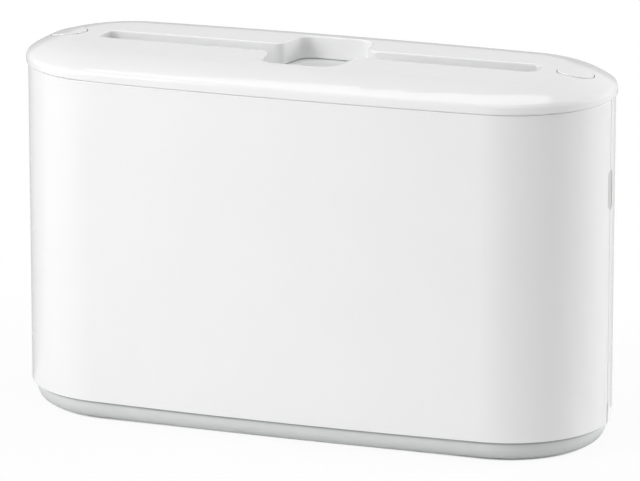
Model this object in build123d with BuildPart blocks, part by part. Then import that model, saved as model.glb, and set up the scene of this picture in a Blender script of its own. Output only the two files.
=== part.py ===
from build123d import *
import math
import os

# Countertop dispenser for folded paper towels, in millimetres.
# The origin is on the worktop under the middle of the case. +X runs along the case, +Y to its
# rear and +Z up. The right-hand end is the one at +X.

# Case outline: an oval of four tangent arcs, two tight ends and two long, gentle sides
case_length = 321.0
case_depth = 114.8
side_bow = 2.9
shell_wall = 2.5

# Heights of the case
foot_drop = 1.0
base_reveal = 11.2
cover_height = 173.9

# Clearances
loose_gap = 0.3
screw_gap = 0.05
sleeve_gap = 0.02
rod_gap = 0.05

# Grey base
base_inset = shell_wall + loose_gap
base_wall = 2.5
base_edge_radius = 8.0
tray_height = 25.0
pad_radius = 5.5
pad_height = 4.5
socket_radius = 6.0
socket_height = 8.0
socket_depth = 6.5

# Rubber feet, let into the underside of the base
foot_radius = 7.0
foot_height = 2.5
foot_edge = 0.4
foot_end_inset = 45.5
foot_side_inset = 27.4

# Screws
screw_radius = 1.75
screw_length = 14.0
screw_head_radius = 3.4
screw_head_height = 2.2
screw_recess_radius = 4.0
screw_recess_depth = 3.5
cover_screw_x = 72.0
cover_screw_inset = 15.4
guide_screw_reach = 16.5
guide_screw_y = 14.0

# Front and rear covers
seam_gap = 0.5
seam_foot_gap = 1.4
seam_foot_height = 11.0
cover_edge = 0.4
boss_radius = 4.5
boss_bore_depth = 12.0
web_thickness = 2.0
web_height = 9.0
rib_thickness = 1.8
rib_depth = 5.9
rib_foot_gap = 1.0
rib_top_gap = 2.7
rib_middle_x = 38.0
rib_end_inset = 55.5
wall_bite = 0.5

# Level windows in the end seams
window_height = 21.0
window_width = 7.0
window_drop = 47.7
window_fit = 0.15
window_recess = 0.3
window_flange = 3.0
window_flange_thickness = 1.7

# End guides: uprights behind the end seams
guide_plate_inset = 13.0
guide_plate_thickness = 3.0
guide_side_gap = 1.0
guide_foot_reach = 21.5
guide_foot_step = 1.5
guide_foot_thickness = 3.0
guide_pillar_height = 14.0
bracket_clearance = 1.4
bracket_thickness = 4.0
bracket_reach = 16.5
bracket_width = 18.0
catch_width = 20.0
catch_drop = 2.0
catch_play = 0.9
seam_rib_thickness = 3.0
sight_end_margin = 0.5
sight_side_margin = 1.0
lug_height = 3.0
lug_width = 8.0
lug_margin = 1.0

# Guide rods and lift springs
rod_radius = 2.5
rod_reach = 10.5
rod_chamfer = 0.4
lift_wire = 0.9
lift_coil_radius = 5.0
lift_turns = 14
closed_gap = 0.5

# Lift platform
platform_rise = 1.3
platform_end_gap = 20.0
platform_side_gap = 2.0
platform_corner = 8.0
platform_plate = 2.5
platform_edge = 1.2
platform_skirt = 12.0
platform_wall = 2.0
platform_rib = 1.6
platform_rib_depth = 7.0
platform_rib_y = 20.0
platform_rib_places = (-75.0, -25.0, 25.0, 75.0)
leg_wall = 3.0
leg_width = 40.0
ear_height = 14.5
ear_gap = 0.5
ear_radius = 7.0
ear_width = 10.0
sleeve_radius = 4.5
sleeve_flange_radius = 6.5
sleeve_flange = 1.2

# Lid: a lip, a rolled edge, a straight slope and a crown that ends flat
lid_overhang = 1.0
lid_gap = 0.25
lid_wall = 2.4
lip_height = 3.4
lip_radius = 0.8
lid_edge_radius = 3.2
lid_slope = 32.7
lid_slope_length = 1.5
crown_radius = 42.0
crown_span = 32.0
skirt_depth = 6.0
skirt_gap = 0.5
skirt_wall = 2.0

# Hole and slot in the lid
hole_front_reach = 34.5
hole_rear_reach = 31.5
hole_end_length = 39.4
hole_tip_length = 51.2
hole_corner_radius = 8.0
slot_corner_radius = 6.0
slot_end_gap = 19.5
slot_width = 17.4
slot_end_radius = 5.0
throat_wall = 2.0
throat_rise = 1.7
rim_radius = 0.9

# Release buttons
button_reach = 6.5
button_radius = 9.5
button_fit = 0.45
button_rise = 0.4
button_edge = 0.3
button_skin = 2.0
button_cup_wall = 1.5
button_flange = 2.0
button_flange_thickness = 1.5
button_travel = 3.0
collar_wall = 2.25
collar_gap = 0.2
press_gap = 0.5
post_offset = 8.0
post_thickness = 5.0
post_width = 6.0
post_taper_drop = 3.4
post_tip_drop = 7.6
post_gap = 0.4

# Latch sliders and their springs
slider_length = 19.7
nose_length = 4.0
slider_width = 16.0
slider_thickness = 2.4
slider_drop = 7.2
nose_width = 10.0
nose_chamfer = 1.1
slider_play = 0.5
spring_slot_length = 4.0
spring_slot_width = 3.4
latch_wire = 0.4
latch_coil_radius = 1.2
latch_turns = 5

# Latch housings under the lid
housing_end_gap = 1.3
housing_wall = 1.6
housing_side = 2.0
housing_top_rise = 0.8
housing_screw_offset = 7.0
housing_screw_gap = 4.7
housing_ear_radius = 3.2
lid_boss_radius = 3.0
hold_down_gap = 3.8
hold_down_thickness = 1.9
hold_down_inner_y = 3.0
small_screw_radius = 1.25
small_screw_length = 8.0
small_head_radius = 2.3
small_head_height = 1.6

# Worked out from the sizes above: the oval and the heights
half_depth = case_depth / 2
end_radius = half_depth - side_bow
end_centre = case_length / 2 - end_radius
side_radius = (end_centre**2 + half_depth**2 - end_radius**2) / (2 * side_bow)
side_centre = side_radius - half_depth
tangent_angle = math.degrees(math.atan2(side_centre, end_centre))
floor_z = foot_drop + base_wall
tray_top_z = foot_drop + tray_height
pad_z = floor_z + pad_height
socket_z = floor_z + socket_height
cover_z = foot_drop + base_reveal
rib_low_z = tray_top_z + rib_foot_gap
boss_top_z = rib_low_z + web_height
seam_z = cover_z + cover_height
rib_top_z = seam_z - skirt_depth - rib_top_gap
window_z = seam_z - window_drop
platform_z = seam_z + platform_rise
bracket_z = seam_z - post_tip_drop - button_travel - bracket_clearance
ear_z = bracket_z - bracket_thickness - ear_gap - ear_height
slider_z = seam_z - slider_drop
slider_gap = loose_gap
channel_z = slider_z - slider_gap

# The lid's rise above the seam, and what hangs from it
slope_angle = math.radians(lid_slope)
crown_foot_rise = (
    lip_height + lid_edge_radius * math.cos(slope_angle) + lid_slope_length * math.sin(slope_angle)
)
lid_rise = crown_foot_rise + crown_radius * (1 - math.cos(slope_angle))
button_z = seam_z + housing_top_rise + button_travel + press_gap
collar_z = button_z + button_flange_thickness + collar_gap
button_top_z = seam_z + lid_rise + button_rise
above_lid = 5.0

# Places along the case, outwards from its middle
guide_plate_x = case_length / 2 - guide_plate_inset
plate_outer_x = guide_plate_x + guide_plate_thickness
guide_screw_x = guide_plate_x - guide_screw_reach
rod_x = guide_plate_x - rod_reach
platform_length = 2 * (rod_x - platform_end_gap)
button_x = guide_plate_x - button_reach
slot_length = 2 * (button_x - slot_end_gap)
post_inner_x = button_x - post_offset
post_outer_x = post_inner_x + post_thickness
hold_down_x = post_inner_x - hold_down_gap - hold_down_thickness
slider_tip_x = guide_plate_x - loose_gap
slider_shoulder_x = slider_tip_x - nose_length
slider_inner_x = slider_tip_x - slider_length
housing_inner_x = slider_inner_x - button_travel - housing_end_gap - housing_wall
housing_outer_x = slider_shoulder_x + slider_gap + housing_wall
housing_screw_x = button_x - housing_screw_offset
rib_places = (rib_middle_x, case_length / 2 - rib_end_inset)

# Places across the case
rib_face_y = half_depth - shell_wall - rib_depth
platform_depth = 2 * (rib_face_y - platform_side_gap)
cover_screw_y = half_depth - cover_screw_inset
channel_half = slider_width / 2 + slider_gap
housing_half = channel_half + housing_side
housing_screw_y = housing_half + housing_screw_gap
screw_places = [
    (x, y)
    for far_x, far_y in ((cover_screw_x, cover_screw_y), (guide_screw_x, guide_screw_y))
    for x in (-far_x, far_x)
    for y in (-far_y, far_y)
]
housing_screw_places = [
    (x, y)
    for x in (-housing_screw_x, housing_screw_x)
    for y in (-housing_screw_y, housing_screw_y)
]
foot_places = [
    (x * (case_length / 2 - foot_end_inset), y * (half_depth - foot_side_inset))
    for x in (-1, 1)
    for y in (-1, 1)
]
rod_places = [(-rod_x, 0), (rod_x, 0)]


def oval(inset):
    """The case's outline, drawn inset from the covers' outer face."""
    with BuildSketch() as outline:
        with BuildLine():
            CenterArc((end_centre, 0), end_radius - inset, -tangent_angle, 2 * tangent_angle)
            CenterArc((0, -side_centre), side_radius - inset, tangent_angle, 180 - 2 * tangent_angle)
            CenterArc((-end_centre, 0), end_radius - inset, 180 - tangent_angle, 2 * tangent_angle)
            CenterArc((0, side_centre), side_radius - inset, 180 + tangent_angle, 180 - 2 * tangent_angle)
        make_face()
    return outline.sketch


def side_y(x, inset):
    """How far out the case's long side is at x, inset from its outer face."""
    return math.sqrt((side_radius - inset) ** 2 - x**2) - side_centre


def end_y(x, inset):
    """How far out the case's rounded end is at x, inset from its outer face."""
    return math.sqrt((end_radius - inset) ** 2 - (x - end_centre) ** 2)


def box_between(low, high, mode=Mode.ADD):
    """A box from its low corner to its high corner."""
    size = [high[i] - low[i] for i in range(3)]
    middle = tuple((high[i] + low[i]) / 2 for i in range(3))
    with Locations(middle):
        Box(*size, mode=mode)


def upward(places, z):
    """Places on an underside, where holes go up from z."""
    return [Location((x, y, z), (180, 0, 0)) for x, y in places]


def write(piece, name):
    """Label a finished piece and write it under its own name."""
    piece.label = name
    export_step(piece, f"parts/{name}.step")


def write_both_ends(piece, name):
    """Write a piece of the right-hand end, and its mirror image at the left-hand end."""
    write(piece, f"{name}_right")
    write(mirror(piece, about=Plane.YZ), f"{name}_left")


def make_base_tray():
    """The grey base: a shallow tray with screw pads, rod sockets and seats for the feet."""
    with BuildPart() as base_tray:
        with BuildSketch(Plane.XY.offset(foot_drop)):
            add(oval(base_inset))
        extrude(amount=tray_height)
        fillet(edges().group_by(Axis.Z)[0], base_edge_radius)
        with BuildSketch(Plane.XY.offset(floor_z)):
            add(oval(base_inset + base_wall))
        extrude(amount=tray_height, mode=Mode.SUBTRACT)
        inner_edges = edges().filter_by_position(Axis.Z, floor_z, floor_z)
        fillet(inner_edges, base_edge_radius - base_wall)
        with BuildSketch(Plane.XY.offset(foot_drop + base_wall / 2)):
            with Locations(*screw_places):
                Circle(pad_radius)
        extrude(amount=pad_z - foot_drop - base_wall / 2)
        with BuildSketch(Plane.XY.offset(foot_drop + base_wall / 2)):
            with Locations(*rod_places):
                Circle(socket_radius)
        extrude(amount=socket_z - foot_drop - base_wall / 2)
        with Locations(*upward(screw_places, foot_drop)):
            CounterBoreHole(
                screw_radius + screw_gap,
                screw_recess_radius,
                screw_recess_depth,
                depth=pad_z - foot_drop,
            )
        with Locations(*upward(foot_places, foot_drop)):
            Hole(foot_radius + screw_gap, depth=foot_height - foot_drop)
        with Locations(*[(x, y, socket_z) for x, y in rod_places]):
            Hole(rod_radius + sleeve_gap, depth=socket_depth)
    return base_tray.part


def make_rubber_feet():
    """Four round pads that stand out of the base by the foot drop."""
    with BuildPart() as rubber_feet:
        with BuildSketch():
            with Locations(*foot_places):
                Circle(foot_radius)
        extrude(amount=foot_height)
        chamfer(edges().group_by(Axis.Z)[0], foot_edge)
    return rubber_feet.part


def make_screws(places, head_z, radius, length, head_radius, head_height):
    """Pan head screws that point up, with the shank starting at head_z."""
    with BuildPart() as screws:
        with BuildSketch(Plane.XY.offset(head_z - head_height)):
            with Locations(*places):
                Circle(head_radius)
        extrude(amount=head_height)
        fillet(edges().group_by(Axis.Z)[0], head_height / 3)
        with BuildSketch(Plane.XY.offset(head_z)):
            with Locations(*places):
                Circle(radius)
        extrude(amount=length)
        chamfer(edges().group_by(Axis.Z)[-1], radius / 2)
    return screws.part


def make_cover(side):
    """One white half shell, the front one for side -1 and the rear one for side 1."""
    with BuildPart() as cover:
        with BuildSketch(Plane.XY.offset(cover_z)):
            add(oval(0))
            add(oval(shell_wall), mode=Mode.SUBTRACT)
        extrude(amount=cover_height)
        for end_face in (cover.faces().sort_by(Axis.Z)[0], cover.faces().sort_by(Axis.Z)[-1]):
            fillet(end_face.outer_wire().edges(), cover_edge)
        # guide ribs for the stack of towels, and screw bosses on short webs
        for place in rib_places:
            for x in (-place, place):
                wall_y = side_y(x, shell_wall) + wall_bite
                low_y, high_y = sorted((side * rib_face_y, side * wall_y))
                box_between(
                    (x - rib_thickness / 2, low_y, rib_low_z),
                    (x + rib_thickness / 2, high_y, rib_top_z),
                )
        for x in (-cover_screw_x, cover_screw_x):
            with BuildSketch(Plane.XY.offset(pad_z)):
                with Locations((x, side * cover_screw_y)):
                    Circle(boss_radius)
            extrude(amount=boss_top_z - pad_z)
            wall_y = side_y(x, shell_wall) + wall_bite
            low_y, high_y = sorted((side * cover_screw_y, side * wall_y))
            box_between(
                (x - web_thickness / 2, low_y, rib_low_z),
                (x + web_thickness / 2, high_y, boss_top_z),
            )
        boss_places = [(x, side * cover_screw_y) for x in (-cover_screw_x, cover_screw_x)]
        with Locations(*upward(boss_places, pad_z)):
            Hole(screw_radius + screw_gap, depth=boss_bore_depth)
        # keep one half, with half the seam's gap taken off, and a wider gap at the seam's foot
        for gap, height in ((seam_gap, cover_height), (seam_foot_gap, seam_foot_height)):
            low_y, high_y = sorted((side * gap / 2, -side * case_depth))
            box_between(
                (-case_length, low_y, cover_z),
                (case_length, high_y, cover_z + height),
                mode=Mode.SUBTRACT,
            )
        with BuildSketch(Plane.YZ):
            with Locations((0, window_z)):
                SlotOverall(window_height, window_width, rotation=90)
        extrude(amount=case_length, both=True, mode=Mode.SUBTRACT)
    return cover.part


def pill_on_end(height, width, outer_inset, inner_inset):
    """A pill shape in the curved right-hand end, between two insets from the outer face."""
    with BuildPart() as pill:
        with BuildSketch(Plane.XY.offset(window_z - height)):
            with Locations((end_centre, 0)):
                Circle(end_radius - outer_inset)
                Circle(end_radius - inner_inset, mode=Mode.SUBTRACT)
        extrude(amount=2 * height)
        with BuildSketch(Plane.YZ.offset(end_centre)):
            with Locations((0, window_z)):
                SlotOverall(height, width, rotation=90)
        extrude(amount=end_radius, mode=Mode.INTERSECT)
    return pill.part


def make_level_window():
    """A grey lens that fills the pill in the seam, with a flange behind the covers."""
    flange_inset = shell_wall + loose_gap
    with BuildPart() as level_window:
        add(
            pill_on_end(
                window_height - 2 * window_fit,
                window_width - 2 * window_fit,
                window_recess,
                flange_inset + window_flange_thickness,
            )
        )
        add(
            pill_on_end(
                window_height + 2 * window_flange,
                window_width + 2 * window_flange,
                flange_inset,
                flange_inset + window_flange_thickness,
            )
        )
    return level_window.part


def make_end_guide():
    """The upright behind the end seam: foot, plate, rod bracket, catch and seam rib."""
    plate_half = end_y(plate_outer_x, base_inset + base_wall) - guide_side_gap
    foot_half = plate_half - guide_foot_step
    seam_rib_x = case_length / 2 - shell_wall - loose_gap
    window_half = window_height / 2 + window_flange + loose_gap
    flange_x = case_length / 2 - shell_wall - 2 * loose_gap - window_flange_thickness
    lug_offset = window_height / 2 + lug_margin
    catch_slot_half = nose_width / 2 + slider_play
    catch_slot_z = channel_z + slider_gap + slider_thickness + catch_play
    with BuildPart() as end_guide:
        box_between(
            (guide_plate_x - guide_foot_reach, -foot_half, pad_z),
            (plate_outer_x, foot_half, pad_z + guide_foot_thickness),
        )
        with BuildSketch(Plane.XY.offset(pad_z)):
            with Locations((guide_screw_x, guide_screw_y), (guide_screw_x, -guide_screw_y)):
                Circle(boss_radius)
        extrude(amount=guide_pillar_height)
        box_between(
            (guide_plate_x, -plate_half, pad_z),
            (plate_outer_x, plate_half, bracket_z),
        )
        box_between(
            (guide_plate_x, -catch_width / 2, bracket_z),
            (plate_outer_x, catch_width / 2, seam_z - catch_drop),
        )
        box_between(
            (guide_plate_x - bracket_reach, -bracket_width / 2, bracket_z - bracket_thickness),
            (guide_plate_x, bracket_width / 2, bracket_z),
        )
        # the rib that closes the seam from inside stops above and below the window
        for low_z, high_z in (
            (tray_top_z + loose_gap, window_z - window_half),
            (window_z + window_half, rib_top_z),
        ):
            box_between(
                (plate_outer_x, -seam_rib_thickness / 2, low_z),
                (seam_rib_x, seam_rib_thickness / 2, high_z),
            )
        for lug_z in (window_z - lug_offset, window_z + lug_offset):
            box_between(
                (plate_outer_x, -lug_width / 2, lug_z - lug_height / 2),
                (flange_x, lug_width / 2, lug_z + lug_height / 2),
            )
        with BuildSketch(Plane.YZ.offset(guide_plate_x)):
            with Locations((0, window_z)):
                SlotOverall(
                    window_height + 2 * sight_end_margin,
                    window_width + 2 * sight_side_margin,
                    rotation=90,
                )
        extrude(amount=guide_plate_thickness, mode=Mode.SUBTRACT)
        box_between(
            (guide_plate_x, -catch_slot_half, channel_z),
            (plate_outer_x, catch_slot_half, catch_slot_z),
            mode=Mode.SUBTRACT,
        )
        guide_screws = [(guide_screw_x, -guide_screw_y), (guide_screw_x, guide_screw_y)]
        with Locations(*upward(guide_screws, pad_z)):
            Hole(screw_radius + screw_gap, depth=boss_bore_depth)
        with Locations((rod_x, 0, bracket_z)):
            Hole(rod_radius + sleeve_gap, depth=bracket_thickness)
        with Locations((rod_x, 0, pad_z + guide_foot_thickness)):
            Hole(socket_radius + loose_gap, depth=guide_foot_thickness)
    return end_guide.part


def make_guide_rod():
    """The steel rod that one end of the platform runs on."""
    low_z = socket_z - socket_depth
    with BuildPart() as guide_rod:
        with BuildSketch(Plane.XY.offset(low_z)):
            with Locations((rod_x, 0)):
                Circle(rod_radius)
        extrude(amount=bracket_z - low_z)
        chamfer(edges(), rod_chamfer)
    return guide_rod.part


def coil_points(radius, wire, turns, length):
    """Points and tangents of a coil about +Z, half a turn apart, with nearly closed end turns."""
    rise = length - wire
    closed_pitch = wire + closed_gap
    open_pitch = (rise - 2 * closed_pitch) / (turns - 2)
    steps = []
    for half_turn in range(2 * turns):
        end_turn = half_turn < 2 or half_turn >= 2 * turns - 2
        steps.append((closed_pitch if end_turn else open_pitch) / 2)
    points = []
    height = wire / 2
    for half_turn in range(2 * turns + 1):
        near_steps = steps[max(half_turn - 1, 0) : half_turn + 1]
        slope = sum(near_steps) / len(near_steps) / (math.pi * radius)
        side = 1 if half_turn % 2 == 0 else -1
        points.append((Vector(side * radius, 0, height), Vector(0, side, slope).normalized()))
        if half_turn < 2 * turns:
            height += steps[half_turn]
    return points


def least_gap(points, wire, turns):
    """The least gap between a coil's turns, measured on points along its middle line."""
    per_turn = len(points) // turns
    near = per_turn // 2
    distances = [
        math.dist(points[i], points[j])
        for i in range(len(points))
        for j in range(i + near, len(points))
    ]
    return min(distances) - wire


def make_coil(name, radius, wire, turns, length, plane):
    """A spring as one unbroken wire, wound about the plane's Z in half turns of two arcs each."""
    ends = coil_points(radius, wire, turns, length)
    middle = []
    with BuildPart() as coil:
        with BuildLine() as path:
            for (start, leave), (finish, arrive) in zip(ends, ends[1:]):
                across = finish - start
                both = leave + arrive
                bend = 2 * (1 - leave.dot(arrive))
                along = across.dot(both)
                reach = (math.sqrt(along**2 + bend * across.dot(across)) - along) / bend
                first = start + leave * reach
                second = finish - arrive * reach
                joint = (first + second) / 2
                arc_in = TangentArc(start, joint, tangent=leave)
                arc_out = TangentArc(joint, finish, tangent=(second - first).normalized())
                for arc in (arc_in, arc_out):
                    middle += [tuple(arc @ (step / 6)) for step in range(6)]
        with BuildSketch(Plane(origin=path.line @ 0, z_dir=path.line % 0)):
            Circle(wire / 2)
        sweep()
    print(name, "least gap between turns", round(least_gap(middle, wire, turns), 2), "mm")
    return coil.part.moved(plane.location)


def make_lift_spring():
    """The spring round a guide rod, between the base and the platform's ear."""
    low_z = socket_z + loose_gap
    high_z = ear_z - sleeve_flange - loose_gap
    plane = Plane(origin=(rod_x, 0, low_z), z_dir=(0, 0, 1))
    return make_coil("lift_spring", lift_coil_radius, lift_wire, lift_turns, high_z - low_z, plane)


def make_lift_platform():
    """The light grey floor under the towels, with a skirt, ribs, and an ear at each end."""
    half_length = platform_length / 2
    skirt_z = platform_z - platform_skirt
    rib_z = platform_z - platform_plate - platform_rib_depth
    with BuildPart() as lift_platform:
        with BuildSketch(Plane.XY.offset(skirt_z)):
            RectangleRounded(platform_length, platform_depth, platform_corner)
        extrude(amount=platform_skirt)
        fillet(edges().group_by(Axis.Z)[-1], platform_edge)
        with BuildSketch(Plane.XY.offset(skirt_z)):
            RectangleRounded(
                platform_length - 2 * platform_wall,
                platform_depth - 2 * platform_wall,
                platform_corner - platform_wall,
            )
        extrude(amount=platform_skirt - platform_plate, mode=Mode.SUBTRACT)
        for x in platform_rib_places:
            box_between(
                (x - platform_rib / 2, platform_wall / 2 - platform_depth / 2, rib_z),
                (x + platform_rib / 2, platform_depth / 2 - platform_wall / 2, platform_z - platform_plate / 2),
            )
        for y in (-platform_rib_y, platform_rib_y):
            box_between(
                (platform_wall / 2 - half_length, y - platform_rib / 2, rib_z),
                (half_length - platform_wall / 2, y + platform_rib / 2, platform_z - platform_plate / 2),
            )
        for side in (-1, 1):
            low_x, high_x = sorted((side * (half_length - leg_wall), side * half_length))
            box_between(
                (low_x, -leg_width / 2, ear_z),
                (high_x, leg_width / 2, platform_z - platform_plate),
            )
            low_x, high_x = sorted((side * (half_length - leg_wall), side * rod_x))
            box_between(
                (low_x, -ear_width / 2, ear_z),
                (high_x, ear_width / 2, ear_z + ear_height),
            )
        with BuildSketch(Plane.XY.offset(ear_z)):
            with Locations(*rod_places):
                Circle(ear_radius)
        extrude(amount=ear_height)
        with Locations(*[(x, y, ear_z + ear_height) for x, y in rod_places]):
            Hole(sleeve_radius + sleeve_gap, depth=ear_height)
    return lift_platform.part


def make_platform_bushing():
    """The flanged sleeve in a platform ear, which slides on the rod and seats the spring."""
    with BuildPart() as platform_bushing:
        with BuildSketch(Plane.XY.offset(ear_z)):
            with Locations((rod_x, 0)):
                Circle(sleeve_radius)
        extrude(amount=ear_height)
        with BuildSketch(Plane.XY.offset(ear_z - sleeve_flange)):
            with Locations((rod_x, 0)):
                Circle(sleeve_flange_radius)
        extrude(amount=sleeve_flange)
        with Locations((rod_x, 0, ear_z + ear_height)):
            Hole(rod_radius + rod_gap, depth=ear_height + sleeve_flange)
    return platform_bushing.part


def lid_section(edge_radius, skin, low):
    """Half section of the lid's form about one arc of its outline, shrunk by a skin."""
    edge = edge_radius - skin
    flat = edge_radius - crown_span
    with BuildSketch() as section:
        with BuildLine():
            lip = Line((edge, low), (edge, lip_height))
            roll = JernArc(lip @ 1, (0, 1), lid_edge_radius - skin, 90 - lid_slope)
            slope = PolarLine(roll @ 1, lid_slope_length, direction=roll % 1)
            crown = JernArc(slope @ 1, slope % 1, crown_radius - skin, lid_slope)
            top = (crown @ 1).Y
            Polyline(crown @ 1, (flat, top), (flat, low), lip @ 0)
        make_face()
    return section.sketch


def lid_form(skin, low):
    """The lid's outer form as a solid from low upwards, shrunk by a skin; low counts from the seam."""
    arcs = (
        (end_centre, 0, end_radius, -tangent_angle, 2 * tangent_angle),
        (0, -side_centre, side_radius, tangent_angle, 180 - 2 * tangent_angle),
        (-end_centre, 0, end_radius, 180 - tangent_angle, 2 * tangent_angle),
        (0, side_centre, side_radius, 180 + tangent_angle, 180 - 2 * tangent_angle),
    )
    with BuildPart() as form:
        for x, y, radius, start, turn in arcs:
            out = Vector(1, 0, 0).rotate(Axis.Z, start)
            plane = Plane(origin=(x, y, seam_z), x_dir=out, z_dir=out.cross(Vector(0, 0, 1)))
            with BuildSketch(plane):
                add(lid_section(radius + lid_overhang, skin, low))
            revolve(axis=Axis((x, y, 0), (0, 0, 1)), revolution_arc=turn)
        with BuildSketch(Plane.XY.offset(seam_z + low)):
            add(oval(crown_span - lid_overhang))
        extrude(amount=lid_rise - skin - low)
    return form.part


def throat(grow):
    """Outline of the six-sided hole and the slot through it, grown outwards."""
    tip_x = hole_tip_length / 2
    corner_x = hole_end_length / 2
    with BuildSketch() as outline:
        Polygon(
            (tip_x, 0),
            (corner_x, hole_rear_reach),
            (-corner_x, hole_rear_reach),
            (-tip_x, 0),
            (-corner_x, -hole_front_reach),
            (corner_x, -hole_front_reach),
            align=None,
        )
        RectangleRounded(slot_length, slot_width, slot_end_radius)
        fillet(outline.vertices().filter_by(lambda v: abs(v.Y) > slot_width), hole_corner_radius)
        junctions = outline.vertices().filter_by(
            lambda v: abs(v.X) < tip_x and abs(abs(v.Y) - slot_width / 2) < loose_gap
        )
        fillet(junctions, slot_corner_radius)
        if grow:
            offset(amount=grow)
    return outline.sketch


def make_lid_fittings():
    """What hangs under the lid: skirt, throat walls, button collars, screw bosses, hold-downs."""
    high_z = seam_z + lid_rise
    with BuildPart() as fittings:
        with BuildSketch(Plane.XY.offset(seam_z - skirt_depth)):
            add(oval(shell_wall + skirt_gap))
            add(oval(shell_wall + skirt_gap + skirt_wall), mode=Mode.SUBTRACT)
        extrude(amount=high_z - seam_z + skirt_depth)
        with BuildSketch(Plane.XY.offset(seam_z + throat_rise)):
            add(throat(throat_wall))
        extrude(amount=lid_rise - throat_rise)
        with BuildSketch(Plane.XY.offset(collar_z)):
            with Locations((-button_x, 0), (button_x, 0)):
                Circle(button_radius + button_fit + collar_wall)
        extrude(amount=high_z - collar_z)
        with BuildSketch(Plane.XY.offset(seam_z + housing_top_rise)):
            with GridLocations(2 * housing_screw_x, 2 * housing_screw_y, 2, 2):
                Circle(lid_boss_radius)
        extrude(amount=lid_rise - housing_top_rise)
        for side in (-1, 1):
            for hand in (-1, 1):
                low_x, high_x = sorted((side * hold_down_x, side * (hold_down_x + hold_down_thickness)))
                low_y, high_y = sorted((hand * hold_down_inner_y, hand * slider_width / 2))
                box_between(
                    (low_x, low_y, slider_z + slider_thickness + slider_gap),
                    (high_x, high_y, high_z),
                )
        add(lid_form(lid_wall / 2, -skirt_depth), mode=Mode.INTERSECT)
    return fittings.part


def make_lid():
    """The white top: a domed shell with a rolled edge, the hole, the slot and two button bores."""
    with BuildPart() as lid:
        add(lid_form(0, lid_gap))
        fillet(lid.faces().sort_by(Axis.Z)[0].outer_wire().edges(), lip_radius)
        add(lid_form(lid_wall, -skirt_depth), mode=Mode.SUBTRACT)
        add(make_lid_fittings())
        with BuildSketch(Plane.XY.offset(seam_z)):
            add(throat(0))
        extrude(amount=lid_rise + above_lid, mode=Mode.SUBTRACT)
        rim = lid.edges(Select.LAST).filter_by_position(
            Axis.Z, seam_z + lid_rise - rim_radius, seam_z + lid_rise + above_lid
        )
        fillet(rim, rim_radius)
        with BuildSketch(Plane.XY.offset(seam_z)):
            with Locations((-button_x, 0), (button_x, 0)):
                Circle(button_radius + button_fit)
        extrude(amount=lid_rise + above_lid, mode=Mode.SUBTRACT)
        with Locations(*upward(housing_screw_places, seam_z + housing_top_rise)):
            Hole(small_screw_radius + screw_gap, depth=small_screw_length)
    return lid.part


def button_core(radius, skin):
    """A round core at the button's place, ending at the lid's form shrunk by a skin."""
    with BuildPart() as core:
        with BuildSketch(Plane.XY.offset(button_z)):
            with Locations((button_x, 0)):
                Circle(radius)
        extrude(amount=lid_rise)
        add(lid_form(skin, -skirt_depth), mode=Mode.INTERSECT)
    return core.part


def make_release_button():
    """A round, hollow button with a flange, and a post whose sloped side drives the latch."""
    with BuildPart() as release_button:
        add(button_core(button_radius, -button_rise))
        side_face = faces().filter_by(GeomType.CYLINDER)[0]
        round_edges = side_face.edges().filter_by(GeomType.LINE, reverse=True)
        fillet(round_edges.sort_by(Axis.Z)[1:], button_edge)
        with BuildSketch(Plane.XY.offset(button_z)):
            with Locations((button_x, 0)):
                Circle(button_radius + button_flange)
        extrude(amount=button_flange_thickness)
        add(button_core(button_radius - button_cup_wall, button_skin - button_rise), mode=Mode.SUBTRACT)
        taper = post_tip_drop - post_taper_drop
        with BuildSketch(Plane.XZ):
            Polygon(
                (post_inner_x, button_top_z - button_skin / 2),
                (post_outer_x, button_top_z - button_skin / 2),
                (post_outer_x, seam_z - post_tip_drop),
                (post_inner_x + taper, seam_z - post_tip_drop),
                (post_inner_x, seam_z - post_taper_drop),
                align=None,
            )
        extrude(amount=post_width / 2, both=True)
    return release_button.part


def make_latch_slider():
    """The plate that the button drives inwards: a nose, a sloped window and a spring slot."""
    top_z = slider_z + slider_thickness
    ramp_low_x = post_inner_x + (seam_z - post_taper_drop - slider_z) - post_gap
    ramp_high_x = ramp_low_x - slider_thickness
    window_half = post_width / 2 + post_gap
    window_outer_x = post_outer_x + button_travel + slider_play
    with BuildPart() as latch_slider:
        box_between(
            (slider_inner_x, -slider_width / 2, slider_z),
            (slider_shoulder_x, slider_width / 2, top_z),
        )
        box_between(
            (slider_shoulder_x, -nose_width / 2, slider_z),
            (slider_tip_x, nose_width / 2, top_z),
        )
        tip_edges = edges().filter_by(Axis.Y).group_by(Axis.X)[-1]
        chamfer(tip_edges.sort_by(Axis.Z)[0], nose_chamfer)
        box_between(
            (slider_inner_x, -spring_slot_width / 2, slider_z),
            (slider_inner_x + spring_slot_length, spring_slot_width / 2, top_z),
            mode=Mode.SUBTRACT,
        )
        with BuildSketch(Plane.XZ):
            Polygon(
                (ramp_high_x, top_z),
                (ramp_low_x, slider_z),
                (window_outer_x, slider_z),
                (window_outer_x, top_z),
                align=None,
            )
        extrude(amount=window_half, both=True, mode=Mode.SUBTRACT)
    return latch_slider.part


def make_latch_spring():
    """The small spring between the latch housing and the latch slider."""
    low_x = housing_inner_x + housing_wall + loose_gap / 2
    high_x = slider_inner_x + spring_slot_length - loose_gap / 2
    middle_z = slider_z + slider_thickness / 2
    plane = Plane(origin=(low_x, 0, middle_z), x_dir=(0, 1, 0), z_dir=(1, 0, 0))
    return make_coil("latch_spring", latch_coil_radius, latch_wire, latch_turns, high_x - low_x, plane)


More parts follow.
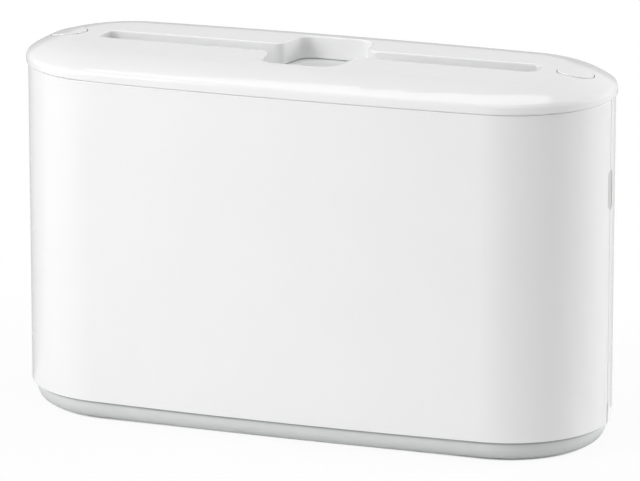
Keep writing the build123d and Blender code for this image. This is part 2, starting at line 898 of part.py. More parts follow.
def make_latch_housing():
    """The open channel under the lid that the latch slides in, with two screw ears."""
    low_z = channel_z - housing_wall
    top_z = seam_z + housing_top_rise
    ear_z_low = top_z - housing_wall
    post_half = post_width / 2 + post_gap
    ear_low_x = housing_screw_x - housing_ear_radius
    ear_high_x = housing_screw_x + housing_ear_radius
    with BuildPart() as latch_housing:
        box_between((housing_inner_x, -housing_half, low_z), (housing_outer_x, housing_half, top_z))
        box_between((ear_low_x, -housing_screw_y, ear_z_low), (ear_high_x, housing_screw_y, top_z))
        with BuildSketch(Plane.XY.offset(ear_z_low)):
            with Locations((housing_screw_x, -housing_screw_y), (housing_screw_x, housing_screw_y)):
                Circle(housing_ear_radius)
        extrude(amount=housing_wall)
        box_between(
            (housing_inner_x + housing_wall, -channel_half, channel_z),
            (slider_shoulder_x + slider_gap, channel_half, top_z),
            mode=Mode.SUBTRACT,
        )
        box_between(
            (slider_shoulder_x, -nose_width / 2 - slider_gap, channel_z),
            (housing_outer_x, nose_width / 2 + slider_gap, slider_z + slider_thickness + slider_gap),
            mode=Mode.SUBTRACT,
        )
        box_between(
            (post_inner_x - post_gap, -post_half, low_z),
            (post_outer_x + post_gap, post_half, channel_z),
            mode=Mode.SUBTRACT,
        )
        for y in (-housing_screw_y, housing_screw_y):
            with Locations((housing_screw_x, y, top_z)):
                Hole(small_screw_radius + screw_gap, depth=housing_wall)
    return latch_housing.part


os.makedirs("parts", exist_ok=True)
write(make_base_tray(), "base_tray")
write(make_rubber_feet(), "rubber_feet")
base_screws = make_screws(
    screw_places,
    foot_drop + screw_recess_depth,
    screw_radius,
    screw_length,
    screw_head_radius,
    screw_head_height,
)
write(base_screws, "base_screws")
write(make_cover(-1), "front_cover")
write(make_cover(1), "rear_cover")
write_both_ends(make_level_window(), "level_window")
write_both_ends(make_end_guide(), "end_guide")
write_both_ends(make_guide_rod(), "guide_rod")
write_both_ends(make_lift_spring(), "lift_spring")
write(make_lift_platform(), "lift_platform")
write_both_ends(make_platform_bushing(), "platform_bushing")
write(make_lid(), "lid")
write_both_ends(make_release_button(), "release_button")
write_both_ends(make_latch_slider(), "latch_slider")
write_both_ends(make_latch_spring(), "latch_spring")
write_both_ends(make_latch_housing(), "latch_housing")
housing_screws = make_screws(
    housing_screw_places,
    seam_z + housing_top_rise - housing_wall,
    small_screw_radius,
    small_screw_length,
    small_head_radius,
    small_head_height,
)
write(housing_screws, "housing_screws")
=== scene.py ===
import math

import bpy
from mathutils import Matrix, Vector


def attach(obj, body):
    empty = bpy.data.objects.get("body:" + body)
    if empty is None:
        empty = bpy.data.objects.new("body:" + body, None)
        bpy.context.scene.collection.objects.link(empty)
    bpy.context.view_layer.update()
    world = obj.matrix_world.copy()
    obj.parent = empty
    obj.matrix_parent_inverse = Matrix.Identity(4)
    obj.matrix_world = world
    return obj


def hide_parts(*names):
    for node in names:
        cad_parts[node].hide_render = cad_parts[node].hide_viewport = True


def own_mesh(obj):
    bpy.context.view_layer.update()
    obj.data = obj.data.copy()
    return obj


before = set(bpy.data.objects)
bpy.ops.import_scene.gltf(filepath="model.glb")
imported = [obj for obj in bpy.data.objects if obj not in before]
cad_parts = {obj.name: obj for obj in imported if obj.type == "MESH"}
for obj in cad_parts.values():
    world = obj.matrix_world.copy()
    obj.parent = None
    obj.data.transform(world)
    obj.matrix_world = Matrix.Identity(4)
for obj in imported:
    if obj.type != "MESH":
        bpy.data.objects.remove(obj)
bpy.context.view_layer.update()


# View. The dispenser is turned by about 20 degrees, so that its right-hand end shows, and is seen
# from 15 degrees above with a long lens, so that its upright edges stay nearly parallel.
view_target = Vector((0.000817, 0.0, 0.09677))
view_azimuth, view_elevation = math.radians(20.056), math.radians(14.804)
view_distance = 2.89105
view_direction = Vector((
    math.sin(view_azimuth) * math.cos(view_elevation),
    -math.cos(view_azimuth) * math.cos(view_elevation),
    math.sin(view_elevation),
))
camera_data = bpy.data.cameras.new("view")
camera_data.sensor_fit = "HORIZONTAL"
camera_data.sensor_width = 36.0
camera_data.lens = 307.79
camera = bpy.data.objects.new("view", camera_data)
camera.location = view_target + view_distance * view_direction
camera.rotation_euler = view_direction.to_track_quat("Z", "Y").to_euler()
bpy.context.scene.collection.objects.link(camera)
bpy.context.scene.camera = camera
bpy.context.scene.view_settings.view_transform = "Standard"


# Worktop and background. A plain white sweep: to the eye and in gloss it glows a clean white, and
# near the dispenser a little of the worktop as it is really lit shows, with the soft shadow.
def linear(hex_colour):
    """An sRGB hex colour as linear light, with full cover."""
    levels = [int(hex_colour[i : i + 2], 16) / 255 for i in (1, 3, 5)]
    return (*[c / 12.92 if c <= 0.04045 else ((c + 0.055) / 1.055) ** 2.4 for c in levels], 1.0)


def add_node(tree, kind, settings=None, **inputs):
    """Add a node. Each input, named or by place, takes a value, a socket or a node."""
    added = tree.nodes.new(kind)
    for key, value in (settings or {}).items():
        setattr(added, key, value)
    for key, value in inputs.items():
        socket = added.inputs[int(key[1:])] if key[0] == "i" and key[1:].isdigit() else None
        socket = socket or added.inputs[key.replace("_", " ")]
        if isinstance(value, bpy.types.Node):
            value = value.outputs[0]
        if isinstance(value, bpy.types.NodeSocket):
            tree.links.new(value, socket)
        else:
            socket.default_value = value
    return added


def empty_material(name):
    """A new material with nothing in its node tree, and that tree."""
    material = bpy.data.materials.new(name)
    material.use_nodes = True
    material.node_tree.nodes.clear()
    return material, material.node_tree


def seen_directly(tree):
    """The ray's kinds, and one where it is the camera's own or comes by way of gloss or glass."""
    ray = add_node(tree, "ShaderNodeLightPath")
    gloss_or_glass = add_node(
        tree, "ShaderNodeMath", {"operation": "MAXIMUM"},
        i0=ray.outputs["Is Glossy Ray"], i1=ray.outputs["Is Transmission Ray"],
    )
    any_of_them = add_node(
        tree, "ShaderNodeMath", {"operation": "MAXIMUM"},
        i0=ray.outputs["Is Camera Ray"], i1=gloss_or_glass,
    )
    return ray, any_of_them


# in metres: the worktop, the base's straight middle line, and how far from that line the glow
# starts and is full, for the camera and for gloss; then the real light's share and its reach
worktop_half = 4.0
spine_half = 0.106
under_base = (0.0415, 0.0455)
beside_base = (0.050, 0.075)
soft_shadow = 0.07
shadow_reach = (0.06, 0.30)
mottle_scale = 9.0
pure_white = (1.0, 1.0, 1.0, 1.0)
# matt white laminate: its faint mottle is hardly seen, and the eye takes it for even white
worktop, tree = empty_material("white_worktop")
place = add_node(tree, "ShaderNodeTexCoord").outputs["Object"]
grain = add_node(tree, "ShaderNodeTexNoise", Vector=place, Scale=mottle_scale, Detail=3.0)
colour = add_node(
    tree, "ShaderNodeMix", {"data_type": "RGBA"},
    i0=grain.outputs["Fac"], i6=linear("#F2F2F2"), i7=linear("#F6F6F6"),
)
lit = add_node(tree, "ShaderNodeBsdfDiffuse", Color=colour.outputs[2])
glow = add_node(tree, "ShaderNodeEmission", Color=pure_white, Strength=1.0)
# how far a spot is from the middle line of the oval base
spot = add_node(tree, "ShaderNodeSeparateXYZ", Vector=place)
along = add_node(tree, "ShaderNodeMath", {"operation": "ABSOLUTE"}, i0=spot.outputs["X"])
past_spine = add_node(tree, "ShaderNodeMath", {"operation": "SUBTRACT"}, i0=along, i1=spine_half)
beyond = add_node(tree, "ShaderNodeMath", {"operation": "MAXIMUM"}, i0=past_spine, i1=0.0)
offset = add_node(tree, "ShaderNodeCombineXYZ", X=beyond, Y=spot.outputs["Y"])
distance = add_node(tree, "ShaderNodeVectorMath", {"operation": "LENGTH"}, i0=offset)
ray, any_of_them = seen_directly(tree)
reach = add_node(
    tree, "ShaderNodeMix", {"data_type": "VECTOR"}, i0=ray.outputs["Is Camera Ray"],
    i4=(*beside_base, 0.0), i5=(*under_base, 0.0),
)
edges = add_node(tree, "ShaderNodeSeparateXYZ", Vector=reach.outputs[1])
contact = add_node(
    tree, "ShaderNodeMapRange", {"interpolation_type": "SMOOTHSTEP"}, Value=distance.outputs["Value"],
    From_Min=edges.outputs["X"], From_Max=edges.outputs["Y"], To_Min=0.0, To_Max=1.0,
)
shade = add_node(
    tree, "ShaderNodeMapRange", {"interpolation_type": "SMOOTHSTEP"}, Value=distance.outputs["Value"],
    From_Min=shadow_reach[0], From_Max=shadow_reach[1], To_Min=1.0 - soft_shadow, To_Max=1.0,
)
clear = add_node(tree, "ShaderNodeMath", {"operation": "MULTIPLY"}, i0=contact, i1=shade)
share = add_node(tree, "ShaderNodeMath", {"operation": "MULTIPLY"}, i0=any_of_them, i1=clear)
both = add_node(tree, "ShaderNodeMixShader", i0=share, i1=lit, i2=glow)
add_node(tree, "ShaderNodeOutputMaterial", Surface=both)
worktop_mesh = bpy.data.meshes.new("worktop")
worktop_mesh.from_pydata(
    [(x * worktop_half, y * worktop_half, 0.0) for x, y in ((-1, -1), (1, -1), (1, 1), (-1, 1))],
    [],
    [(0, 1, 2, 3)],
)
worktop_mesh.materials.append(worktop)
worktop_object = bpy.data.objects.new("worktop", worktop_mesh)
bpy.context.scene.collection.objects.link(worktop_object)

world = bpy.data.worlds.new("studio")
bpy.context.scene.world = world
world.use_nodes = True
tree = world.node_tree
tree.nodes.clear()
plain_white = add_node(
    tree, "ShaderNodeBackground", Color=pure_white, Strength=seen_directly(tree)[1]
)
add_node(tree, "ShaderNodeOutputWorld", Surface=plain_white)


# Studio lamps. A broad softbox overhead and a smaller one high in front light the lid, and a tall
# key at the front left lights the case. Two fills at the right end and behind it leave a soft dark
# band round the front right corner; gloss doesn't see those two.
def softbox(name, at, aim, width, height, power, turn=0.0, in_gloss=True):
    """A rectangular lamp at one point, facing another; sizes in metres, power in watts."""
    lamp = bpy.data.lights.new(name, "AREA")
    lamp.shape = "RECTANGLE"
    lamp.size, lamp.size_y = width, height
    lamp.energy = power
    box = bpy.data.objects.new(name, lamp)
    box.location = at
    box.rotation_euler = (Vector(at) - Vector(aim)).to_track_quat("Z", "Y").to_euler()
    box.rotation_euler.z += math.radians(turn)
    box.visible_glossy = in_gloss
    bpy.context.scene.collection.objects.link(box)


def round_about(degrees, distance, height):
    """A lamp's place, so many degrees round the dispenser from its right-hand end."""
    turn = math.radians(degrees)
    return (distance * math.cos(turn), distance * math.sin(turn), height)


case_middle = (0.0, 0.0, 0.10)
overhead_x, overhead_y = -0.037, -0.069
softbox(
    "lamp_overhead", (overhead_x, overhead_y, 1.20), (overhead_x, overhead_y, 0.0),
    1.00, 0.90, 5.6, turn=22.0,
)
softbox("lamp_key", round_about(-130, 2.0, 0.80), case_middle, 0.7, 1.5, 31.2)
softbox("lamp_high", round_about(-70, 1.6, 1.40), case_middle, 0.8, 0.8, 4.6)
softbox("lamp_right", round_about(15, 2.0, 0.55), case_middle, 0.7, 1.1, 15.7, in_gloss=False)
softbox("lamp_rear_right", round_about(40, 2.0, 0.55), case_middle, 0.7, 1.1, 15.9, in_gloss=False)


# Grey cards. A white thing on white shows its outline by them: one stands behind it and one lies
# on the worktop, each an even grey glow that only gloss sees, so edges darken at grazing angles.
# the cards are no lamps and nothing lights them: they glow an even grey of their own
grey_card, tree = empty_material("matt_grey_card")
pale_grey = add_node(tree, "ShaderNodeEmission", Color=linear("#C4C4C4"), Strength=1.0)
add_node(tree, "ShaderNodeOutputMaterial", Surface=pale_grey)
behind = Vector((-math.sin(view_azimuth), math.cos(view_azimuth), 0.0))
beside = Vector((math.cos(view_azimuth), math.sin(view_azimuth), 0.0))
card_distance, card_half, card_height, card_lift = 2.0, 2.5, 0.58, 0.002
card_reach, notch_x, notch_y = 1.4, 0.17, 0.065
# behind the dispenser only, with a notch where it stands
floor_card_corners = (
    (-card_reach, 0.0), (-notch_x, 0.0), (-notch_x, notch_y), (notch_x, notch_y),
    (notch_x, 0.0), (card_reach, 0.0), (card_reach, card_reach), (-card_reach, card_reach),
)
for name, corners in (
    ("card_behind", [
        card_distance * behind + side * card_half * beside + Vector((0.0, 0.0, height))
        for side, height in ((-1, 0.0), (1, 0.0), (1, card_height), (-1, card_height))
    ]),
    ("card_on_worktop", [(x, y, card_lift) for x, y in floor_card_corners]),
):
    card_mesh = bpy.data.meshes.new(name)
    card_mesh.from_pydata([tuple(corner) for corner in corners], [], [tuple(range(len(corners)))])
    card_mesh.materials.append(grey_card)
    card = bpy.data.objects.new(name, card_mesh)
    card.visible_camera = card.visible_diffuse = False
    card.visible_shadow = card.visible_transmission = False
    bpy.context.scene.collection.objects.link(card)


# Base. A shallow tray of grey ABS with a fine spark-eroded texture, injection moulded in one
# piece with its screw pads and rod sockets; the covers stand round it.
flow_mark = 0.045
gloss_patch = 0.012


def moulded(name, shades, roughness, grain_mm, relief_mm, ior):
    """Injection moulded plastic: faint flow marks in its colour and gloss, and the tool's grain."""
    material, tree = empty_material(name)
    place = add_node(tree, "ShaderNodeTexCoord").outputs["Object"]
    flow = add_node(tree, "ShaderNodeTexNoise", Vector=place, Scale=1 / flow_mark, Detail=2.0)
    colour = add_node(
        tree, "ShaderNodeMix", {"data_type": "RGBA"},
        i0=flow.outputs["Fac"], i6=linear(shades[0]), i7=linear(shades[1]),
    )
    gloss = add_node(tree, "ShaderNodeTexNoise", Vector=place, Scale=1 / gloss_patch, Detail=3.0)
    polish = add_node(
        tree, "ShaderNodeMapRange",
        Value=gloss.outputs["Fac"], To_Min=roughness[0], To_Max=roughness[1],
    )
    grain = add_node(
        tree, "ShaderNodeTexNoise", Vector=place, Scale=1000 / grain_mm, Detail=2.0, Roughness=0.6
    )
    relief = add_node(
        tree, "ShaderNodeBump", Strength=1.0, Distance=relief_mm / 1000, Height=grain.outputs["Fac"]
    )
    surface = add_node(
        tree, "ShaderNodeBsdfPrincipled",
        Base_Color=colour.outputs[2], Roughness=polish,
        Normal=relief, IOR=ior,
    )
    add_node(tree, "ShaderNodeOutputMaterial", Surface=surface)
    return material


def finish_nodes(material, *names):
    """Give CAD pieces one material all over."""
    for name in names:
        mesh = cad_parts[name].data
        mesh.materials.clear()
        mesh.materials.append(material)


abs_ior = 1.53
grey_shades, grey_gloss = ("#D2D5D4", "#D6D9D8"), (0.28, 0.36)
# its grain breaks up the lamps' gloss, so that it reads as a soft grey band; the grain is drawn at
# 0.8 mm, coarser than a real eroded one. Painted shade darkens a band at the top, in the joint.
painted_joint_shade = (0.0098, 0.0116)
painted_shade_depth = 0.8
base_abs = moulded("textured_grey_abs_base", grey_shades, grey_gloss, 0.8, 0.006, abs_ior)
tree = base_abs.node_tree
surface = next(node for node in tree.nodes if node.type == "BSDF_PRINCIPLED")
place = add_node(tree, "ShaderNodeTexCoord").outputs["Object"]
height = add_node(tree, "ShaderNodeSeparateXYZ", Vector=place)
# painted shade: from 9.8 to 11.6 mm up the colour darkens towards #77797A, as the joint under the
# covers would be shaded
painted_shade = add_node(
    tree, "ShaderNodeMapRange", {"interpolation_type": "SMOOTHSTEP"}, Value=height.outputs["Z"],
    From_Min=painted_joint_shade[0], From_Max=painted_joint_shade[1], To_Min=0.0, To_Max=painted_shade_depth,
)
colour = add_node(
    tree, "ShaderNodeMix", {"data_type": "RGBA"},
    i0=painted_shade, i6=surface.inputs["Base Color"].links[0].from_socket, i7=linear("#77797A"),
)
tree.links.new(colour.outputs[2], surface.inputs["Base Color"])
finish_nodes(base_abs, "base_tray")


# Feet. Four round pads of black rubber, compression moulded and pressed into the base. Near
# black and dull: bloom greys it in patches, and grit, drawn coarser than it is, kills the gloss.
bloom_patch, grit_size, grit_relief = 0.004, 0.0006, 0.00003
rubber, tree = empty_material("moulded_black_rubber")
place = add_node(tree, "ShaderNodeTexCoord").outputs["Object"]
bloom = add_node(tree, "ShaderNodeTexNoise", Vector=place, Scale=1 / bloom_patch, Detail=4.0)
colour = add_node(
    tree, "ShaderNodeMix", {"data_type": "RGBA"},
    i0=bloom.outputs["Fac"], i6=linear("#26262A"), i7=linear("#333336"),
)
grit = add_node(tree, "ShaderNodeTexNoise", Vector=place, Scale=1 / grit_size, Detail=2.0)
relief = add_node(
    tree, "ShaderNodeBump", Strength=1.0, Distance=grit_relief, Height=grit.outputs["Fac"]
)
surface = add_node(
    tree, "ShaderNodeBsdfPrincipled",
    Base_Color=colour.outputs[2], Roughness=0.75, Normal=relief, IOR=1.52,
)
add_node(tree, "ShaderNodeOutputMaterial", Surface=surface)
finish_nodes(rubber, "rubber_feet")


# Base screws. Eight pan head screws of zinc-plated steel with cross recesses, driven up through
# the base into the covers and the end guides. Thread rolling leaves a raised helix on the shank.
def steel(name, shades, roughness, streak_mm, lengthwise=0.05):
    """Drawn or rolled steel: fine streaks along Z in its brightness and its gloss."""
    material, tree = empty_material(name)
    place = add_node(tree, "ShaderNodeTexCoord").outputs["Object"]
    along = add_node(tree, "ShaderNodeMapping", Vector=place, Scale=(1.0, 1.0, lengthwise))
    streaks = add_node(
        tree, "ShaderNodeTexNoise", Vector=along, Scale=1000 / streak_mm, Detail=3.0
    )
    colour = add_node(
        tree, "ShaderNodeMix", {"data_type": "RGBA"},
        i0=streaks.outputs["Fac"], i6=linear(shades[0]), i7=linear(shades[1]),
    )
    polish = add_node(
        tree, "ShaderNodeMapRange",
        Value=streaks.outputs["Fac"], To_Min=roughness[0], To_Max=roughness[1],
    )
    surface = add_node(
        tree, "ShaderNodeBsdfPrincipled",
        Base_Color=colour.outputs[2], Metallic=1.0, Roughness=polish,
    )
    add_node(tree, "ShaderNodeOutputMaterial", Surface=surface)
    return material


sharp_bend = math.radians(32)
mm = 0.001


def shape_tree(name, sizes):
    """An empty Geometry Nodes tree with places, sizes and a finish as inputs, and its inputs."""
    tree = bpy.data.node_groups.new(name, "GeometryNodeTree")
    tree.interface.new_socket("Places", in_out="INPUT", socket_type="NodeSocketGeometry")
    for size in sizes:
        tree.interface.new_socket(size, in_out="INPUT", socket_type="NodeSocketFloat")
    tree.interface.new_socket("Turn", in_out="INPUT", socket_type="NodeSocketVector")
    tree.interface.new_socket("Finish", in_out="INPUT", socket_type="NodeSocketMaterial")
    tree.interface.new_socket("Shape", in_out="OUTPUT", socket_type="NodeSocketGeometry")
    return tree, add_node(tree, "NodeGroupInput").outputs


def close_tree(tree, given, shape):
    """Smooth a shape but for its sharp edges, take it from mm, and put one at every place."""
    bend = add_node(tree, "GeometryNodeInputMeshEdgeAngle")
    sharp = add_node(tree, "ShaderNodeMath", {"operation": "GREATER_THAN"}, i0=bend, i1=sharp_bend)
    smooth = add_node(tree, "GeometryNodeSetShadeSmooth", Geometry=shape, Shade_Smooth=True)
    creased = add_node(
        tree, "GeometryNodeSetShadeSmooth", {"domain": "EDGE"},
        Geometry=smooth, Selection=sharp, Shade_Smooth=False,
    )
    small = add_node(tree, "GeometryNodeTransform", Geometry=creased, Scale=(mm, mm, mm))
    turn = add_node(tree, "FunctionNodeEulerToRotation", Euler=given["Turn"])
    placed = add_node(
        tree, "GeometryNodeInstanceOnPoints", Points=given["Places"], Instance=small, Rotation=turn
    )
    real = add_node(tree, "GeometryNodeRealizeInstances", Geometry=placed)
    finished = add_node(tree, "GeometryNodeSetMaterial", Geometry=real, Material=given["Finish"])
    add_node(tree, "NodeGroupOutput", Shape=finished)


def grown(name, tree, places, finish, turn=(0.0, 0.0, 0.0), **sizes):
    """The plain mesh object that a tree makes at some places, with sizes given in millimetres."""
    points = bpy.data.meshes.new(name)
    points.from_pydata([[part / 1000 for part in place] for place in places], [], [])
    piece = bpy.data.objects.new(name, points)
    bpy.context.scene.collection.objects.link(piece)
    grow = piece.modifiers.new("shape", "NODES")
    grow.node_group = tree
    for socket in tree.interface.items_tree:
        key = socket.name.lower().replace(" ", "_")
        if key in sizes:
            grow[socket.identifier] = float(sizes[key])
        elif key == "turn":
            grow[socket.identifier] = turn
        elif key == "finish":
            grow[socket.identifier] = finish
    graph = bpy.context.evaluated_depsgraph_get()
    mesh = bpy.data.meshes.new_from_object(piece.evaluated_get(graph), depsgraph=graph)
    piece.modifiers.clear()
    piece.data = mesh
    return piece


add = "ShaderNodeMath", {"operation": "ADD"}
take = "ShaderNodeMath", {"operation": "SUBTRACT"}
times = "ShaderNodeMath", {"operation": "MULTIPLY"}
over = "ShaderNodeMath", {"operation": "DIVIDE"}
below = "ShaderNodeMath", {"operation": "LESS_THAN"}

# shares of the head's and the shank's sizes
head_rounding, head_rim = (0.5, 1.15), (-1.0, -0.25)
wing_share, recess_share, recess_taper = 0.24, 1.3, (1.15, 0.55)
core_share, core_reach, tip_share, tip_blunt, ridge_share = 0.80, 0.93, 0.07, 0.5, 0.19
tree, given = shape_tree(
    "pan_head_screw",
    ("Head Radius", "Head Height", "Shank Radius", "Shank Length", "Thread Pitch", "Recess Width"),
)
screw_tree = tree
spot = add_node(tree, "ShaderNodeSeparateXYZ", Vector=add_node(tree, "GeometryNodeInputPosition"))

# the head is a disc whose lower cap is drawn down, flat in the middle and rounded to its edge
blank = add_node(
    tree, "GeometryNodeMeshCylinder", {"fill_type": "TRIANGLE_FAN"},
    Vertices=40, Side_Segments=1, Fill_Segments=9, Radius=given["Head Radius"], Depth=1.0,
)
flat_spot = add_node(tree, "ShaderNodeCombineXYZ", X=spot.outputs["X"], Y=spot.outputs["Y"])
across = add_node(tree, "ShaderNodeVectorMath", {"operation": "LENGTH"}, i0=flat_spot)
profile = add_node(
    tree, "ShaderNodeMapRange", {"interpolation_type": "SMOOTHSTEP"},
    Value=add_node(tree, *over, i0=across.outputs["Value"], i1=given["Head Radius"]),
    From_Min=head_rounding[0], From_Max=head_rounding[1], To_Min=head_rim[0], To_Max=head_rim[1],
)
drop = add_node(tree, *times, i0=profile, i1=given["Head Height"])
lower_cap = add_node(tree, *below, i0=spot.outputs["Z"], i1=0.0)
head = add_node(
    tree, "GeometryNodeSetPosition", Geometry=blank.outputs["Mesh"],
    Position=add_node(
        tree, "ShaderNodeCombineXYZ", X=spot.outputs["X"], Y=spot.outputs["Y"],
        Z=add_node(tree, *times, i0=drop, i1=lower_cap),
    ),
)

# the cross recess is two crossed blocks that taper towards its floor
wing = add_node(tree, *times, i0=given["Recess Width"], i1=wing_share)
recess_depth = add_node(tree, *times, i0=given["Head Height"], i1=recess_share)
cutter = add_node(tree, "GeometryNodeJoinGeometry")
for x, y in ((given["Recess Width"], wing), (wing, given["Recess Width"])):
    block = add_node(
        tree, "GeometryNodeMeshCube",
        Size=add_node(tree, "ShaderNodeCombineXYZ", X=x, Y=y, Z=recess_depth),
    )
    tree.links.new(block.outputs["Mesh"], cutter.inputs[0])
height_share = add_node(tree, *over, i0=spot.outputs["Z"], i1=recess_depth)
taper = add_node(
    tree, "ShaderNodeMapRange", Value=height_share,
    From_Min=-0.5, From_Max=0.5, To_Min=recess_taper[0], To_Max=recess_taper[1],
)
tapered = add_node(
    tree, "GeometryNodeSetPosition", Geometry=cutter,
    Position=add_node(
        tree, "ShaderNodeCombineXYZ",
        X=add_node(tree, *times, i0=spot.outputs["X"], i1=taper),
        Y=add_node(tree, *times, i0=spot.outputs["Y"], i1=taper),
        Z=add_node(tree, *take, i0=spot.outputs["Z"], i1=given["Head Height"]),
    ),
)
driven = add_node(
    tree, "GeometryNodeMeshBoolean", {"operation": "DIFFERENCE", "solver": "EXACT"},
    Mesh_1=head, Mesh_2=tapered, Self_Intersection=True,
)

# the shank is a core with a blunt tip, and the thread a four-sided wire wound round it
core_radius = add_node(tree, *times, i0=given["Shank Radius"], i1=core_share)
core_length = add_node(tree, *times, i0=given["Shank Length"], i1=core_reach)
core = add_node(
    tree, "GeometryNodeMeshCone", Vertices=20, Side_Segments=1, Fill_Segments=1,
    Radius_Top=core_radius, Radius_Bottom=core_radius, Depth=core_length,
)
tip = add_node(
    tree, "GeometryNodeMeshCone", Vertices=20, Side_Segments=1, Fill_Segments=1,
    Radius_Top=add_node(tree, *times, i0=core_radius, i1=tip_blunt), Radius_Bottom=core_radius,
    Depth=add_node(tree, *times, i0=given["Shank Length"], i1=tip_share),
)
raised_tip = add_node(
    tree, "GeometryNodeTransform", Geometry=tip,
    Translation=add_node(tree, "ShaderNodeCombineXYZ", Z=core_length),
)
winding = add_node(
    tree, "GeometryNodeCurveSpiral", Resolution=20,
    Rotations=add_node(tree, *over, i0=core_length, i1=given["Thread Pitch"]),
    Start_Radius=core_radius, End_Radius=core_radius, Height=core_length,
)
ridge = add_node(
    tree, "GeometryNodeCurvePrimitiveCircle", Resolution=4,
    Radius=add_node(tree, *times, i0=given["Shank Radius"], i1=ridge_share),
)
thread = add_node(
    tree, "GeometryNodeCurveToMesh", Curve=winding, Profile_Curve=ridge, Fill_Caps=True
)
whole_screw = add_node(tree, "GeometryNodeJoinGeometry")
for part in (driven, core, raised_tip, thread):
    tree.links.new(part.outputs[0], whole_screw.inputs[0])
close_tree(tree, given, whole_screw)

# a cool, bright metal; speckle, drawn coarser than a real plating's, blurs what it mirrors
zinc_plate = steel("zinc_plated_steel", ("#A9ACB2", "#C3C6CB"), (0.24, 0.38), 0.5, 1.0)
base_screw_z = 4.5
base_screw_places = [
    (x, y, base_screw_z)
    for far_x, far_y in ((72.0, 42.0), (131.0, 14.0))
    for x in (-far_x, far_x)
    for y in (-far_y, far_y)
]
base_screws = grown(
    "base_screws_pan_head", screw_tree, base_screw_places,
    zinc_plate, head_radius=3.4, head_height=2.2, shank_radius=1.75, shank_length=14.0,
    thread_pitch=1.4, recess_width=3.6,
)
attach(base_screws, "case")
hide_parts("base_screws")


# End guides. Uprights of the same grey ABS, screwed to the base behind the end seams; they hold
# the rods, back the seams and take the lid's latches.
# the same soft grey as the base, without its painted joint shade
grey_abs = moulded("textured_grey_abs", grey_shades, grey_gloss, 0.8, 0.006, abs_ior)
finish_nodes(grey_abs, "end_guide_left", "end_guide_right")


# Guide rods. Bright drawn steel, ground to size and pressed into the base and the end guides.
# Streaks along the rod, drawn coarser than real ones, pull each highlight into a long soft line.
drawn_steel = steel("drawn_bright_steel", ("#C4C5C8", "#DADBDE"), (0.18, 0.32), 0.3, 0.02)
finish_nodes(drawn_steel, "guide_rod_left", "guide_rod_right")


# Lift springs. Cold-wound spring wire round the rods, with closed end turns, seated on the base;
# they push the platform up and shorten as it goes down. Tempering leaves a dull grey.
tree, given = shape_tree("coil_spring", ("Coil Radius", "Wire", "Turns", "Length", "End Pitch"))
coil_tree = tree
# a spiral that rises by one a turn, then is drawn out to its length with its end turns left close
path = add_node(
    tree, "GeometryNodeCurveSpiral", Resolution=24, Rotations=given["Turns"],
    Start_Radius=given["Coil Radius"], End_Radius=given["Coil Radius"], Height=given["Turns"],
)
spot = add_node(tree, "ShaderNodeSeparateXYZ", Vector=add_node(tree, "GeometryNodeInputPosition"))
last_turn = add_node(tree, *take, i0=given["Turns"], i1=1.0)
end_rises = add_node(tree, *times, i0=given["End Pitch"], i1=2.0)
whole_rise = add_node(tree, *take, i0=given["Length"], i1=given["Wire"])
open_rise = add_node(tree, *take, i0=whole_rise, i1=end_rises)
rise = add_node(tree, *times, i0=given["Wire"], i1=0.5)
for start, end, climb in (
    (0.0, 1.0, given["End Pitch"]),
    (1.0, last_turn, open_rise),
    (last_turn, given["Turns"], given["End Pitch"]),
):
    stretch = add_node(
        tree, "ShaderNodeMapRange",
        Value=spot.outputs["Z"], From_Min=start, From_Max=end, To_Min=0.0, To_Max=climb,
    )
    rise = add_node(tree, *add, i0=rise, i1=stretch)
wound = add_node(
    tree, "GeometryNodeSetPosition", Geometry=path,
    Position=add_node(
        tree, "ShaderNodeCombineXYZ", X=spot.outputs["X"], Y=spot.outputs["Y"], Z=rise
    ),
)
wire = add_node(
    tree, "GeometryNodeCurvePrimitiveCircle", Resolution=12,
    Radius=add_node(tree, *times, i0=given["Wire"], i1=0.5),
)
coil = add_node(tree, "GeometryNodeCurveToMesh", Curve=wound, Profile_Curve=wire, Fill_Caps=True)
close_tree(tree, given, coil)

# darker and duller than the rods, so that the coils stand out from them
spring_wire = steel("tempered_spring_wire", ("#7E8186", "#A3A6AB"), (0.28, 0.42), 0.4, 1.0)
# millimetres: the rod's place, the spring's seat, and its length at rest and fully pressed
rod_x, lift_seat = 137.0, 11.8
lift_rest, lift_pressed = 141.8, 14.8
for side, sign in (("left", -1), ("right", 1)):
    lift_spring = grown(
        f"lift_coil_{side}", coil_tree, [(sign * rod_x, 0.0, lift_seat)], spring_wire,
        coil_radius=5.0, wire=0.9, turns=14, length=lift_rest, end_pitch=1.4,
    )
    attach(lift_spring, "case")
    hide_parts(f"lift_spring_{side}")
    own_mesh(lift_spring)


# Platform sleeves. Sintered bronze, pressed into the platform's ears. Open pores, drawn coarser
# than they are, freckle a warm brown metal that barely shines.
pore_size, pore_relief = 0.0005, 0.00002
bronze, tree = empty_material("sintered_bronze")
place = add_node(tree, "ShaderNodeTexCoord").outputs["Object"]
pores = add_node(tree, "ShaderNodeTexVoronoi", Vector=place, Scale=1 / pore_size)
colour = add_node(
    tree, "ShaderNodeMix", {"data_type": "RGBA"},
    i0=pores.outputs["Distance"], i6=linear("#8F6B42"), i7=linear("#C79A5E"),
)
relief = add_node(
    tree, "ShaderNodeBump", Strength=1.0, Distance=pore_relief, Height=pores.outputs["Distance"]
)
surface = add_node(
    tree, "ShaderNodeBsdfPrincipled",
    Base_Color=colour.outputs[2], Metallic=1.0, Roughness=0.42, Normal=relief,
)
add_node(tree, "ShaderNodeOutputMaterial", Surface=surface)
finish_nodes(bronze, "platform_bushing_left", "platform_bushing_right")


# Lift platform. Pale grey ABS, moulded with its skirt, ribs and ears; the towels stand on it.
# Satin and a shade darker than the lid, so that it shows as a quiet grey floor in the hole.
pale_abs = moulded("pale_grey_abs", ("#DDDEDE", "#E2E3E3"), (0.34, 0.44), 0.6, 0.008, abs_ior)
finish_nodes(pale_abs, "lift_platform")


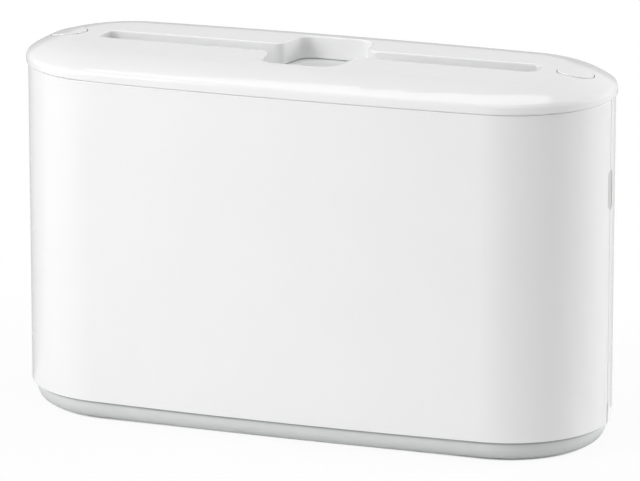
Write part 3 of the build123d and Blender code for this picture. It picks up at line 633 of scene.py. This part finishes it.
# Covers. The front and rear half shells are gloss white ABS from a polished tool, screwed to
# the base from below; they meet in an open seam at each end.
# sharp highlights on a clean white; waves 14 mm long and 0.003 mm high, as a moulded
# wall has, make them waver a little
white_abs = moulded("gloss_white_abs", ("#F1F1F1", "#F3F3F3"), (0.08, 0.12), 14.0, 0.003, abs_ior)
finish_nodes(white_abs, "front_cover", "rear_cover")


# Level windows. Light grey polycarbonate lenses, clipped into the seams. They are drawn opaque, as
# no more is seen of them than a flat grey pill; a faint haze keeps it from looking like paint.
haze_patch = 0.006
window_grey, tree = empty_material("grey_polycarbonate")
place = add_node(tree, "ShaderNodeTexCoord").outputs["Object"]
haze = add_node(tree, "ShaderNodeTexNoise", Vector=place, Scale=1 / haze_patch, Detail=2.0)
colour = add_node(
    tree, "ShaderNodeMix", {"data_type": "RGBA"},
    i0=haze.outputs["Fac"], i6=linear("#CCCCCB"), i7=linear("#D0D0CF"),
)
surface = add_node(
    tree, "ShaderNodeBsdfPrincipled", Base_Color=colour.outputs[2], Roughness=0.22, IOR=1.585
)
add_node(tree, "ShaderNodeOutputMaterial", Surface=surface)
finish_nodes(window_grey, "level_window_left", "level_window_right")


# Lid. Gloss white ABS like the covers, moulded with its throat, skirt and button collars. Its
# rolled edge carries the long highlight.
finish_nodes(white_abs, "lid")


# Latch channels and sliders. Natural acetal, slippery so that the sliders run, in channels that
# are screwed under the lid: a warm off-white with a low, waxy sheen.
acetal = moulded("natural_acetal", ("#DEDED9", "#E4E4DF"), (0.30, 0.38), 0.7, 0.005, 1.48)
finish_nodes(
    acetal, "latch_housing_left", "latch_housing_right", "latch_slider_left", "latch_slider_right"
)


# Latch springs. The same wire, thinner, between each channel's inner wall and its slider; they
# push the latch noses out into the end guides.
latch_seat_x, latch_seat_z = 123.35, 180.1
for side, sign in (("left", -1), ("right", 1)):
    latch_spring = grown(
        f"latch_coil_{side}", coil_tree, [(sign * latch_seat_x, 0.0, latch_seat_z)], spring_wire,
        turn=(0.0, math.radians(sign * 90), 0.0),
        coil_radius=1.2, wire=0.4, turns=5, length=8.0, end_pitch=0.9,
    )
    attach(latch_spring, "lid")
    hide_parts(f"latch_spring_{side}")
    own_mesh(latch_spring)


# Channel screws. Four small pan head screws that hold the latch channels up under the lid, of
# the same zinc-plated steel as the base screws.
channel_screw_x, channel_screw_y, channel_screw_z = 134.0, 15.0, 185.3
housing_screws = grown(
    "channel_screws_pan_head", screw_tree,
    [
        (x, y, channel_screw_z)
        for x in (-channel_screw_x, channel_screw_x)
        for y in (-channel_screw_y, channel_screw_y)
    ],
    zinc_plate, head_radius=2.3, head_height=1.6, shank_radius=1.25, shank_length=8.0,
    thread_pitch=1.0, recess_width=2.5,
)
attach(housing_screws, "lid")
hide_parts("housing_screws")


# Release buttons. Discs of the lid's gloss white ABS, which ride in its collars; the loose gap
# round them shows as a thin line.
finish_nodes(white_abs, "release_button_left", "release_button_right")
